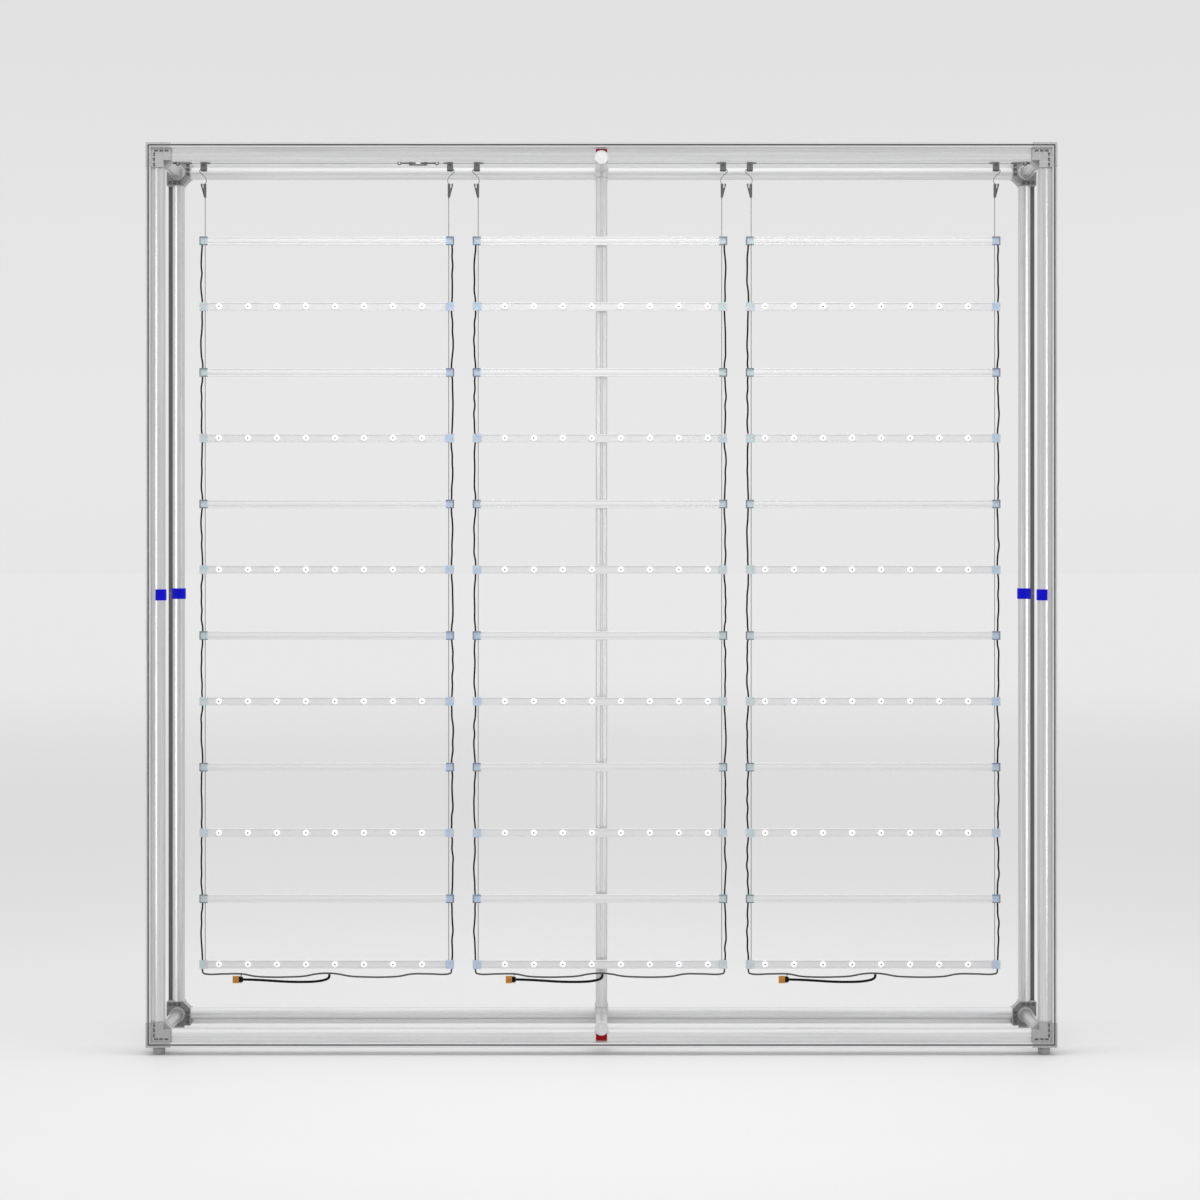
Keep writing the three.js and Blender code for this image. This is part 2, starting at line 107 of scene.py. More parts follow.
# Hanging wire, clamps and hooks
WIRE_RADIUS = 1.25 * MM
WIRE_CLEARANCE = 0.4 * MM
STOP_RADIUS = 2.5 * MM
STOP_LENGTH = 9 * MM
EYE_THICKNESS = 1.5 * MM
SCREW_RADIUS = 2 * MM
CLAMP_WIDTH = 15.6 * MM
CLAMP_DEPTH = 12 * MM
PIVOT_RISE = 4.5 * MM
HOOK_RADIUS = 1.2 * MM
GRIP_LENGTH = 36 * MM
GRIP_THICKNESS = 7 * MM

# Bars, clips and wiring
BAR_COUNT = 12
BAR_PITCH = 168.5 * MM
LOWEST_BAR_Z = 207 * MM
BAR_HEIGHT = 21 * MM
BAR_THICKNESS = 7 * MM
BAR_SUNK = 1.4 * MM
CLIP_SPACING = 631 * MM
CLIP_WIDTH = 21 * MM
CLIP_HEIGHT = 22 * MM
CLIP_DEPTH = 12 * MM
CORD_INSET = 3.5 * MM
CORD_RADIUS = 1 * MM
BOOT_LENGTH = 10 * MM
HARNESS_RADIUS = 2.2 * MM
HARNESS_BOW = 3 * MM
LENS_LIFT = 0.8 * MM
LENS_COUNT = 8
LENS_PITCH = 74.3 * MM
LENS_RADIUS = 8 * MM
FIRST_LENS = 39 * MM

# Half of the jumper's route and the leads' route, in millimetres across and up
JUMPER_MIDDLE_Z = 184
JUMPER_ROUTE = (
    (319, 201), (319, 191), (317, 184.6), (310, 182), (262, 182.2), (215, 181.8), (186, 176.4),
    (150, 174.2), (100, 174.4), (58, 176.6), (28, 182))
LEAD_RADIUS = 3.2 * MM
LEAD_ROUTE = (
    (6, 181), (6, 177), (4.4, 172.5), (0, 169.2), (-8, 166.4), (-19, 164.2), (-32, 162.7),
    (-50, 161.9), (-82, 161.8), (-114, 162.9), (-146, 164.9), (-180, 166.8), (-215, 168))


def middle(node):
    """The centre of a CAD node's box."""
    low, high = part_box(node)
    return (low + high) / 2


def added(name, data):
    """A new object of the given data, put in the scene."""
    thing = bpy.data.objects.new(name, data)
    bpy.context.scene.collection.objects.link(thing)
    return thing


# Places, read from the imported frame
HALF_WIDTH = cad_box[1].x
FACE_Y = cad_box[1].y
TOP_Z = cad_box[1].z
RING_LOW_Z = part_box("corner_front_left_bottom")[0].z
MIDDLE_Z = (RING_LOW_Z + TOP_Z) / 2
TUBE_X = HALF_WIDTH - TUBE_IN
TUBE_Y = FACE_Y - TUBE_BACK
EDGE_Z = {"bottom": RING_LOW_Z, "top": TOP_Z}
TUBE_Z = {"bottom": RING_LOW_Z + TUBE_IN, "top": TOP_Z - TUBE_IN}
LADDER_Y = middle("turnbuckle").y
WIRE_Z = middle("turnbuckle").z
LADDER_X = {side: middle(f"ladder_{side}_net").x for side in LADDERS}
GRIP_TOP_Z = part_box("ladder_left_net")[1].z + GAP + GRIP_LENGTH


# --- Materials ---

# The part of a noise pattern's range that the materials use
PATTERN_RANGE = (0.3, 0.7)


def shader_of(material):
    return material.node_tree.nodes["Principled BSDF"]


def fill(node, values):
    """Sets a node's sockets to the values given by their names."""
    for socket, value in values.items():
        node.inputs[socket].default_value = value


def feed(material, output, socket):
    """Links another node's output to one of the main shader's sockets."""
    material.node_tree.links.new(output, shader_of(material).inputs[socket])


def plain(name, slot, colour, roughness, metallic=0.0):
    """An even material that carries the name of its finish in the record."""
    material = bpy.data.materials.new(name)
    material.use_nodes = True
    material["slot"] = slot
    fill(shader_of(material), {
        "Base Color": (*colour, 1), "Roughness": roughness, "Metallic": metallic})
    return material


def noise(material, scale, detail=3.0, stretch=(1, 1, 1)):
    """A cloudy pattern fixed to the object; a small number in stretch draws it out that way."""
    nodes, links = material.node_tree.nodes, material.node_tree.links
    place = nodes.new("ShaderNodeTexCoord")
    mapping = nodes.new("ShaderNodeMapping")
    fill(mapping, {"Scale": stretch})
    pattern = nodes.new("ShaderNodeTexNoise")
    fill(pattern, {"Scale": scale, "Detail": detail})
    links.new(place.outputs["Object"], mapping.inputs["Vector"])
    links.new(mapping.outputs["Vector"], pattern.inputs["Vector"])
    return pattern.outputs["Fac"]


def tint(material, pattern, dark, light):
    """Colours the surface from dark to light by the pattern."""
    ramp = material.node_tree.nodes.new("ShaderNodeValToRGB")
    for element, height, colour in zip(ramp.color_ramp.elements, PATTERN_RANGE, (dark, light)):
        element.position = height
        element.color = (*colour, 1)
    material.node_tree.links.new(pattern, ramp.inputs["Fac"])
    feed(material, ramp.outputs["Color"], "Base Color")


def roughen(material, pattern, low, high):
    """Sets the roughness between low and high by the pattern."""
    spread = material.node_tree.nodes.new("ShaderNodeMapRange")
    darkest, lightest = PATTERN_RANGE
    fill(spread, {"From Min": darkest, "From Max": lightest, "To Min": low, "To Max": high})
    material.node_tree.links.new(pattern, spread.inputs["Value"])
    feed(material, spread.outputs["Result"], "Roughness")


def emboss(material, pattern, depth, strength=0.5):
    """Raises the surface by up to depth metres by the pattern."""
    bump = material.node_tree.nodes.new("ShaderNodeBump")
    fill(bump, {"Distance": depth, "Strength": strength})
    material.node_tree.links.new(pattern, bump.inputs["Height"])
    feed(material, bump.outputs["Normal"], "Normal")


def greys(*values):
    """Very slightly cool greys of the given brightness."""
    return [(value, value, value * 1.01) for value in values]


def aluminium(axis, dark, light):
    """Satin anodised extrusion, with fine die lines and faint streaks along the given axis."""
    material = plain(f"aluminium_{axis}", "aluminium", light, 0.3, 0.92)
    drawn = [0.012 if name == axis else 1 for name in "xyz"]
    tint(material, noise(material, 260, 4, drawn), dark, light)
    die_lines = noise(material, 1500, 2, drawn)
    roughen(material, die_lines, 0.24, 0.4)
    emboss(material, die_lines, 0.008 * MM, 0.3)
    return material


def painted_groove_and_flange_shade():
    """Painted shade: a dull dark copy of the aluminium for the fabric grooves and the rear
    uprights' flanges, which lie in shade.
    """
    dark, light = greys(0.1, 0.14)
    material = plain("painted_groove_and_flange_shade", "aluminium", dark, 0.6, 0.3)
    tint(material, noise(material, 300, 3, (1, 1, 0.05)), dark, light)
    emboss(material, noise(material, 2500), 0.05 * MM)
    return material


def moulded(name, slot, dark, light, roughness, gloss=0.0):
    """Moulded plastic: a little mottling, a fine grain and an optional clear gloss."""
    material = plain(name, slot, light, roughness)
    fill(shader_of(material), {"Coat Weight": gloss, "Coat Roughness": 0.15})
    tint(material, noise(material, 160, 5), dark, light)
    grain = noise(material, 2200, 2)
    roughen(material, grain, roughness - 0.07, roughness + 0.07)
    emboss(material, grain, 0.01 * MM)
    return material


def deep_coloured(name, slot, dark, light):
    """Strongly coloured moulded plastic with little surface shine."""
    material = moulded(name, slot, dark, light, 0.5)
    fill(shader_of(material), {"Specular IOR Level": 0.12})
    return material


def rolled_steel(name, slot, dark, light, roughness):
    """Galvanised or cast metal with small crystals and dull patches."""
    material = plain(name, slot, light, roughness, 0.85)
    tint(material, noise(material, 400, 6), dark, light)
    roughen(material, noise(material, 900, 3), roughness - 0.1, roughness + 0.12)
    emboss(material, noise(material, 1800, 3), 0.05 * MM)
    return material


def cable_sheath(name, slot, dark, light):
    """Soft cable sheath with a slight sheen and scuffs."""
    material = plain(name, slot, light, 0.5)
    fill(shader_of(material), {"Specular IOR Level": 0.1})
    tint(material, noise(material, 500, 4), dark, light)
    roughen(material, noise(material, 700, 3), 0.5, 0.7)
    emboss(material, noise(material, 3000, 2), 0.03 * MM)
    return material


def lens_with_painted_glow():
    """Frosted lens over an LED, made bright all through by a weak painted glow."""
    material = moulded("lens_white", "lens_white", (0.93, 0.93, 0.94), (0.98, 0.98, 0.98), 0.3, 0.6)
    # The emission is a painted glow that brightens the lens
    fill(shader_of(material), {
        "Emission Color": (1, 1, 1, 1), "Emission Strength": 0.22,
        "Subsurface Weight": 0.2, "Subsurface Scale": 2 * MM})
    return material


def clip_plastic(name, dark, light):
    """Pale translucent plastic that lets light soak in at its edges."""
    material = moulded(name, name, dark, light, 0.32, 0.5)
    fill(shader_of(material), {"Subsurface Weight": 0.35, "Subsurface Scale": 3 * MM})
    return material


# One extrusion in three tones: the copy along x, for the horizontal profiles, is lighter as painted
# light for the stronger light that falls on them; the copies along y and z are darker
ALUMINIUM = {
    "x": aluminium("x", *greys(0.7, 0.82)),
    "y": aluminium("y", *greys(0.6, 0.74)),
    "z": aluminium("z", *greys(0.6, 0.72))}
# Painted shade on the fabric grooves and the rear uprights' flanges, where shade falls
GROOVE_AND_FLANGE_SHADE = painted_groove_and_flange_shade()
CONNECTOR = moulded("connector_grey", "grey_plastic", *greys(0.36, 0.42), 0.5)
# A darker copy of the connector plastic: painted shade on the arms' backs and pockets, which face
# in between the rings
CONNECTOR_PAINTED_SHADE = moulded("connector_painted_shade", "grey_plastic", *greys(0.17, 0.22), 0.55)
CAP = moulded("cap_grey", "grey_plastic", *greys(0.6, 0.7), 0.42, 0.2)
FOOT = moulded("foot_grey", "foot_plastic", *greys(0.36, 0.42), 0.6)
BLUE = deep_coloured("collar_blue", "blue_collar", (0.0, 0.0, 0.5), (0.001, 0.001, 0.62))
RED = deep_coloured("collar_red", "red_collar", (0.24, 0.002, 0.003), (0.36, 0.005, 0.006))
STEEL = rolled_steel("steel", "steel", *greys(0.28, 0.42), 0.32)
ZINC = rolled_steel("zinc", "zinc", *greys(0.16, 0.24), 0.45)
DARK_ZINC = rolled_steel("dark_zinc", "steel", *greys(0.12, 0.2), 0.45)
DARK_STEEL = rolled_steel("dark_steel", "steel", *greys(0.05, 0.09), 0.4)
BAR = moulded("bar_white", "bar_white", *greys(0.76, 0.78), 0.6)
BOARD = moulded("board_white", "bar_white", *greys(0.73, 0.76), 0.6)
CHIP = moulded("chip_grey", "bar_white", *greys(0.1, 0.2), 0.4, 0.3)
LENS = lens_with_painted_glow()
CLIPS = {
    "blue": clip_plastic("clip_blue", (0.44, 0.53, 0.66), (0.54, 0.63, 0.75)),
    "teal": clip_plastic("clip_teal", (0.5, 0.58, 0.6), (0.6, 0.68, 0.7))}
CLIP_EDGES = {
    "blue": moulded("clip_blue_edge", "clip_blue", (0.11, 0.15, 0.21), (0.17, 0.21, 0.27), 0.5),
    "teal": moulded("clip_teal_edge", "clip_teal", (0.11, 0.15, 0.17), (0.17, 0.21, 0.23), 0.5)}
BLACK_CABLE = cable_sheath("black_cable", "black_cable", *greys(0.003, 0.007))
GREY_CABLE = cable_sheath("grey_cable", "grey_cable", *greys(0.2, 0.3))
JUMPER_CABLE = cable_sheath("jumper_cable", "grey_cable", *greys(0.06, 0.1))
ORANGE = moulded(
    "orange_plastic", "orange_plastic", (0.42, 0.16, 0.008), (0.54, 0.22, 0.014), 0.5)


# --- Mesh helpers ---

# Where the local x, y and z axes go when a shape made along z is turned along another axis
TURNS = {
    "x": ((0, 1, 0), (0, 0, 1), (1, 0, 0)),
    "y": ((0, 0, 1), (1, 0, 0), (0, 1, 0)),
    "z": ((1, 0, 0), (0, 1, 0), (0, 0, 1))}


def placing(origin, x_axis, y_axis, z_axis):
    """The matrix that puts a shape's own origin and axes at these."""
    matrix = Matrix((x_axis, y_axis, z_axis)).transposed().to_4x4()
    matrix.translation = origin
    return matrix


def moved(mesh, matrix):
    """The mesh put through the matrix, with its faces turned out again if that mirrors it."""
    mesh.transform(matrix)
    if matrix.determinant() < 0:
        mesh.flip_normals()
    return mesh


def copied(mesh, matrix):
    return moved(mesh.copy(), matrix)


def shifted(mesh, x=0.0, y=0.0, z=0.0):
    return moved(mesh, Matrix.Translation((x, y, z)))


def to_mesh(shape):
    bmesh.ops.recalc_face_normals(shape, faces=shape.faces)
    mesh = bpy.data.meshes.new("shape")
    shape.to_mesh(mesh)
    shape.free()
    return mesh


def skin(rings):
    """A closed mesh through rings with the same number of points, with flat ends."""
    shape = bmesh.new()
    made = [[shape.verts.new(point) for point in ring] for ring in rings]
    for near, far in zip(made, made[1:]):
        for i, start in enumerate(near):
            shape.faces.new((near[i - 1], start, far[i], far[i - 1]))
    shape.faces.new(made[0])
    shape.faces.new(made[-1])
    return to_mesh(shape)


def prism(loops, start, end):
    """A prism along z from closed outlines: the first is its outside and the others are holes."""
    shape = bmesh.new()
    ends = []
    for z in (start, end):
        rings = [[shape.verts.new((x, y, z)) for x, y in loop] for loop in loops]
        edges = [shape.edges.new(pair) for ring in rings for pair in zip([ring[-1], *ring], ring)]
        if len(rings) == 1:
            shape.faces.new(rings[0])
        else:
            bmesh.ops.triangle_fill(shape, edges=edges, use_beauty=True)
        ends.append(rings)
    for low, high in zip(*ends):
        for i in range(len(low)):
            shape.faces.new((low[i - 1], low[i], high[i], high[i - 1]))
    return to_mesh(shape)


def in_mm(points):
    """Points given in millimetres, turned to metres."""
    return [(across * MM, up * MM) for across, up in points]


def arc(centre, radius, start, end, steps):
    """Points along an arc from the start to the end angle, in degrees, both ends included."""
    angles = [math.radians(start + (end - start) * i / steps) for i in range(steps + 1)]
    return [(centre[0] + radius * math.cos(a), centre[1] + radius * math.sin(a)) for a in angles]


def circle(radius, sides, centre=(0, 0)):
    return arc(centre, radius, 0, 360, sides)[:-1]


def softened(outline, radius, steps=3):
    """The outline with each sharp corner turned into a small curve."""
    straight = math.radians(150)
    points = []
    for i, point in enumerate(outline):
        corner = Vector(point)
        back = (Vector(outline[i - 1]) - corner).normalized()
        on = (Vector(outline[(i + 1) % len(outline)]) - corner).normalized()
        if back.angle(on) > straight:
            points.append(corner)
            continue
        for step in range(steps + 1):
            share = step / steps
            points.append(corner + back * radius * (1 - share) ** 2 + on * radius * share ** 2)
    return points


def lathe(outline, sides=32):
    """A turned solid round z, from (radius, height) points that run from end to end."""
    smallest = 0.02 * MM
    rings = []
    for radius, height in outline:
        rings.append([(x, y, height) for x, y in circle(max(radius, smallest), sides)])
    return skin(rings)


def rectangle(low, high):
    return [(low[0], low[1]), (high[0], low[1]), (high[0], high[1]), (low[0], high[1])]


def block(low, high):
    return prism([rectangle(low, high)], low[2], high[2])


def rod(axis, radius, start, end, centre=(0, 0, 0), sides=32):
    """A cylinder along an axis, from start to end on it, round the centre's other two values."""
    base = [0 if name == axis else value for name, value in zip("xyz", centre)]
    return moved(prism([circle(radius, sides)], start, end), placing(base, *TURNS[axis]))


def combined(base, tools, operation):
    """The base mesh with the tool meshes joined to it or cut from it."""
    holder = added("holder", base)
    helpers = []
    for tool in tools:
        helper = added("helper", tool)
        modifier = holder.modifiers.new("combine", "BOOLEAN")
        modifier.operation = operation
        modifier.solver = "MANIFOLD"
        modifier.object = helper
        helpers.append(helper)
    graph = bpy.context.evaluated_depsgraph_get()
    result = bpy.data.meshes.new_from_object(holder.evaluated_get(graph))
    for done in (holder, *helpers):
        bpy.data.objects.remove(done)
    return result


def merged_flats(mesh):
    """The mesh with its flat neighbouring faces made one, so that its edges bevel cleanly."""
    shape = bmesh.new()
    shape.from_mesh(mesh)
    bmesh.ops.remove_doubles(shape, verts=shape.verts, dist=0.005 * MM)
    nearly_flat = math.radians(0.5)
    bmesh.ops.dissolve_limit(shape, angle_limit=nearly_flat, verts=shape.verts, edges=shape.edges)
    return to_mesh(shape)


def joined(*meshes):
    return merged_flats(combined(meshes[0], meshes[1:], "UNION"))


def carved(mesh, *tools):
    return merged_flats(combined(mesh, tools, "DIFFERENCE"))


def gathered(meshes):
    """Separate closed shapes kept in one mesh."""
    shape = bmesh.new()
    for mesh in meshes:
        shape.from_mesh(mesh)
    return to_mesh(shape)


# --- Pieces ---

def settle(thing, material, body, nodes):
    """Puts a piece on its body, in place of its CAD nodes; the material passed in is not used."""
    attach(thing, body)
    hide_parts(*nodes)
    return thing


def piece(name, mesh, material, body="frame", nodes=(), bevel=0.0):
    """A finished piece; a bevel rounds its sharp edges by that width."""
    mesh.name = name
    mesh.materials.clear()
    mesh.materials.append(material)
    mesh.shade_smooth()
    thing = added(name, mesh)
    if bevel:
        rounding = thing.modifiers.new("rounding", "BEVEL")
        rounding.width = bevel
        rounding.segments = 2
        rounding.limit_method = "ANGLE"
        rounding.angle_limit = math.radians(35)
        rounding.harden_normals = True
    else:
        mesh.set_sharp_from_angle(angle=math.radians(32))
    return settle(thing, material, body, nodes)


def two_toned(thing, drawn, material, chosen):
    """Gives a second material to the faces of a placed piece that are chosen on its drawing."""
    thing.data.materials.append(material)
    for flat, placed in zip(drawn.polygons, thing.data.polygons):
        if chosen(flat):
            placed.material_index = 1


def wire(name, points, radius, material, body="frame", nodes=()):
    """A round wire along a smooth curve through the points."""
    data = bpy.data.curves.new(name, "CURVE")
    data.dimensions = "3D"
    data.bevel_depth = radius
    data.bevel_resolution = 3
    data.resolution_u = 8
    data.use_fill_caps = True
    spline = data.splines.new("BEZIER")
    spline.bezier_points.add(len(points) - 1)
    for knot, point in zip(spline.bezier_points, points):
        knot.co = point
        knot.handle_left_type = knot.handle_right_type = "AUTO"
    data.materials.append(material)
    return settle(added(name, data), material, body, nodes)


# --- Camera and free leads ---

def make_camera():
    """The photograph's view: square on to the front, from just above half height."""
    data = bpy.data.cameras.new("camera")
    data.lens = 73
    data.sensor_width = 36
    data.shift_x = -0.00125
    data.shift_y = -0.0275
    data.clip_end = 900
    camera = added("camera", data)
    camera.location = (0, -6.27, 1.225)
    camera.rotation_euler = (math.radians(90), 0, 0)
    bpy.context.scene.camera = camera


def make_lead(side):
    """A ladder's free lead, from the jumper wire down and round to its plug."""
    body = f"ladder_{side}"
    points = [Vector((LADDER_X[side] + x * MM, LADDER_Y, z * MM)) for x, z in LEAD_ROUTE]
    lead = wire(f"{body}_free_lead", points, LEAD_RADIUS, BLACK_CABLE, body, [f"{body}_lead"])
    end = points[-1]
    on_lead = [make_boot(body, end), make_connector(body, end), make_tie(body, end)]
    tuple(points[0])


def make_boot(body, end):
    """The black sleeve where the lead enters the plug, with two grip rings."""
    widest, tallest = 4.9, 8.0
    outline = (
        (2.9, 0), (4.2, 0.6), (4.4, 2.4), (3.9, 3), (4.6, 4), (4.1, 5), (widest, 6.2),
        (widest, BOOT_LENGTH / MM))
    sleeve = lathe(in_mm(outline), 24)
    tall = Matrix.Diagonal((1, tallest / widest, 1, 1))
    facing = placing(end - Vector((GAP, 0, 0)), (0, 1, 0), (0, 0, 1), (-1, 0, 0))
    return piece(f"{body}_boot", moved(sleeve, facing @ tall), BLACK_CABLE, body, [f"{body}_plug"])


def make_connector(body, end):
    """The orange plug: a keyed block with two sockets in its far end and cuts for grip."""
    length, half_height, half_depth, key = 16 * MM, 9 * MM, 4.5 * MM, 3 * MM
    shoulder, inner = half_height - key, half_depth - key
    outline = [
        (-half_depth, -half_height), (half_depth, -half_height), (half_depth, shoulder),
        (inner, half_height), (-inner, half_height), (-half_depth, shoulder)]
    shell = prism([outline], 0, length)
    socket_radius, socket_floor = 2.4 * MM, length - 7 * MM
    sockets = [
        rod("z", socket_radius, socket_floor, length + MM, (0, height, 0), 20)
        for height in (-4.2 * MM, 3.2 * MM)]
    cut_start, cut_end, cut_width, cut_depth = 2 * MM, 9 * MM, 0.9 * MM, 0.5 * MM
    grip_cuts = [
        block((-2 * half_depth, low, cut_start), (cut_depth - half_depth, low + cut_width, cut_end))
        for low in (-4 * MM, -MM, 2 * MM)]
    start = end - Vector((GAP + BOOT_LENGTH, 0, 0))
    facing = placing(start, (0, 1, 0), (0, 0, 1), (-1, 0, 0))
    shape = moved(carved(shell, *sockets, *grip_cuts), facing)
    return piece(f"{body}_connector", shape, ORANGE, body, [f"{body}_plug"], 0.4 * MM)


def make_tie(body, end):
    """A thin black loop that holds the boot up against the jumper wire."""
    radius, half_depth, x = 0.6 * MM, 5.4 * MM, end.x - BOOT_LENGTH / 2
    top, shoulder = end.z + 16.6 * MM, end.z + 9.6 * MM
    hip, bottom = end.z - 6 * MM, end.z - 9.6 * MM
    crossing = 0.8 * MM
    front, back = LADDER_Y - half_depth, LADDER_Y + half_depth
    points = [
        (x, LADDER_Y, top), (x, front, shoulder), (x, front, hip), (x, LADDER_Y, bottom),
        (x, back, hip), (x, back, shoulder), (x + crossing, LADDER_Y, top + radius)]
    return wire(f"{body}_tie", points, radius, BLACK_CABLE, body, [f"{body}_plug"])


# --- Frame ---

def profile_loops():
    """The fabric profile's outside and its bore: across is in from the edge, up is back."""
    centre = (TUBE_IN, TUBE_BACK)
    start = -180 + math.degrees(math.asin((TUBE_BACK - WEB_FRONT) / TUBE_RADIUS))
    end = 180 + math.degrees(math.asin((TUBE_BACK - RIM_DEPTH) / TUBE_RADIUS))
    outline = [
        (0, 0), (LIP, 0), (LIP, GROOVE_DEPTH), (LIP + GROOVE, GROOVE_DEPTH), (LIP + GROOVE, 0),
        (RIM_WIDTH, 0), (RIM_WIDTH, WEB_FRONT), *arc(centre, TUBE_RADIUS, start, end, 40),
        (0, RIM_DEPTH)]
    return [softened(outline, 0.5 * MM), circle(TUBE_RADIUS - TUBE_WALL, 40, centre)]


def make_profile(node, length, turn, axis, is_painted_shade):
    """One side of a ring, in two halves that meet under its collar."""
    loops = profile_loops()
    for half, sign in (("a", -1), ("b", 1)):
        start, end = sorted((sign * GAP / 2, sign * length / 2))
        drawn = prism(loops, start, end)
        thing = piece(f"{node}_half_{half}", copied(drawn, turn), ALUMINIUM[axis], "frame", [node])
        # The faces picked by the last argument take the painted shade
        two_toned(thing, drawn, GROOVE_AND_FLANGE_SHADE, is_painted_shade)


def is_flange_back(face):
    """Whether a face of the drawn profile is the flat inner face of its flange."""
    within = face.center.x < TUBE_IN - 0.8 * TUBE_RADIUS
    return within and abs(face.center.y - RIM_DEPTH) < GAP and abs(face.normal.z) < 0.5


def is_groove(face):
    """Whether a face of the drawn profile lies inside its fabric groove."""
    within = LIP - GAP < face.center.x < LIP + GROOVE + GAP
    return within and LIP < face.center.y < GROOVE_DEPTH + GAP and abs(face.normal.z) < 0.5


def is_groove_floor(face):
    """Whether a face of the drawn profile is the floor of its fabric groove."""
    return is_groove(face) and face.center.y > GROOVE_DEPTH - GAP


def make_collar(node, turn, material, has_tab):
    """An open ring that snaps round the tube; some reach on over the web with a flat tab."""
    centre = (TUBE_IN, TUBE_BACK)
    opens, closes = -110, 212
    tab_end, tab_thickness = RIM_WIDTH + 2 * MM, 3 * MM
    outer = arc(centre, COLLAR_RADIUS, opens, closes, 40)
    inner = arc(centre, TUBE_RADIUS + GAP, closes, opens, 40)
    tab = []
    if has_tab:
        tab = [(tab_end, WEB_FRONT - GAP), (tab_end, WEB_FRONT - tab_thickness)]
    mesh = prism([tab + outer + inner], -COLLAR_LENGTH / 2, COLLAR_LENGTH / 2)
    piece(node + "_ring", moved(mesh, turn), material, "frame", [node], 0.7 * MM)


def arm_recesses():
    """Three moulded recesses in a row along the front of each arm."""
    count, pitch, length, width, offset = 3, 13 * MM, 9.5 * MM, 5 * MM, 18 * MM
    level_start, upright_start = 21 * MM, 25 * MM
    floor = ARM_FRONT + RECESS_DEPTH
    row_end = offset + width
    recesses = []
    for i in range(count):
        level = level_start + i * pitch
        upright = upright_start + i * pitch
        recesses.append(block((level, -MM, offset), (level + length, floor, row_end)))
        recesses.append(block((offset, -MM, upright), (row_end, floor, upright + length)))
    return recesses


def arm_pockets():
    """Shallow pockets with ribs between them in the back of each arm."""
    size, first = 9 * MM, 51 * MM
    back = ARM_BACK + MM
    floor = ARM_BACK - POCKET_DEPTH
    pockets = []
    for low in (5 * MM, 17 * MM, 29 * MM):
        pockets.append(block((first, floor, low), (first + size, back, low + size)))
        pockets.append(block((low, floor, first), (low + size, back, first + size)))
    return pockets


def is_arm_back(face):
    """Whether a face of the drawn connector is on the back of its arms, pockets included."""
    return face.normal.y > 0.9 and ARM_BACK - POCKET_DEPTH - GAP < face.center.y < ARM_BACK + GAP


def connector_mesh():
    """A corner connector, with its outer corner at the origin and its arms along x and z."""
    inner = ARM_WIDTH - 4 * MM
    gusset_outline = [
        (inner, inner), (ARM_LENGTH, inner), (ARM_LENGTH, ARM_WIDTH), (ARM_WIDTH, ARM_LENGTH),
        (inner, ARM_LENGTH)]
    flat = placing((0, 0, 0), (1, 0, 0), (0, 0, 1), (0, 1, 0))
    gusset = moved(prism([gusset_outline], RIM_DEPTH, ARM_BACK), flat)
    centre = (TUBE_IN, 0, TUBE_IN)
    past = ARM_LENGTH + MM
    spigot = (ARM_LENGTH - MM, ARM_LENGTH + SPIGOT_LENGTH)
    body = joined(
        block((0, ARM_FRONT, 0), (ARM_LENGTH, ARM_BACK, ARM_WIDTH)),
        block((0, ARM_FRONT, 0), (ARM_WIDTH, ARM_BACK, ARM_LENGTH)),
        block((0, 0, 0), (ARM_LENGTH, RIM_DEPTH, RIM_WIDTH)),
        block((0, 0, 0), (RIM_WIDTH, RIM_DEPTH, ARM_LENGTH)),
        gusset,
        rod("y", SOCKET_RADIUS, TUBE_BACK, TUBE_BACK + SOCKET_LENGTH, centre),
        rod("x", SPIGOT_RADIUS, *spigot, (0, TUBE_BACK, TUBE_IN)),
        rod("z", SPIGOT_RADIUS, *spigot, (TUBE_IN, TUBE_BACK, 0)))
    hollows = [
        block((LIP, -MM, LIP), (past, GROOVE_DEPTH, LIP + GROOVE)),
        block((LIP, -MM, LIP), (LIP + GROOVE, GROOVE_DEPTH, past)),
        rod("y", TUBE_RADIUS + GAP, SOCKET_FLOOR, TUBE_BACK + SOCKET_LENGTH + MM, centre)]
    return combined(body, [*hollows, *arm_recesses(), *arm_pockets()], "DIFFERENCE")


def make_rings():
    """Both rings: four profiles, four collars and four corner connectors each."""
    run_x = 2 * (HALF_WIDTH - ARM_LENGTH - GAP)
    run_z = TOP_Z - RING_LOW_Z - 2 * (ARM_LENGTH + GAP)
    connector = connector_mesh()
    for ring, y in RINGS:
        for level, z in LEVELS:
            turn = placing((0, y * FACE_Y, EDGE_Z[level]), (0, 0, -z), (0, -y, 0), (1, 0, 0))
            # The horizontals' fabric grooves take the painted shade
            make_profile(f"profile_{ring}_{level}", run_x, turn, "x", is_groove)
            make_collar(f"collar_{ring}_{level}", turn, RED, True)
        for side, x in SIDES:
            face = (x * HALF_WIDTH, y * FACE_Y)
            turn = placing((*face, MIDDLE_Z), (-x, 0, 0), (0, -y, 0), (0, 0, 1))
            # Painted shade on the rear uprights' flange backs and on the front uprights' groove
            # floors
            painted_shade_faces = is_flange_back if ring == "rear" else is_groove_floor
            make_profile(f"profile_{ring}_{side}", run_z, turn, "z", painted_shade_faces)
            make_collar(f"collar_{ring}_{side}", turn, BLUE, False)
            for level, z in LEVELS:
                turn = placing((*face, EDGE_Z[level]), (-x, 0, 0), (0, -y, 0), (0, 0, -z))
                node = f"corner_{ring}_{side}_{level}"
                placed = copied(connector, turn)
                shell = piece(node + "_shell", placed, CONNECTOR, "frame", [node])
                # Painted shade on the backs of the arms and in their pockets
                two_toned(shell, connector, CONNECTOR_PAINTED_SHADE, is_arm_back)


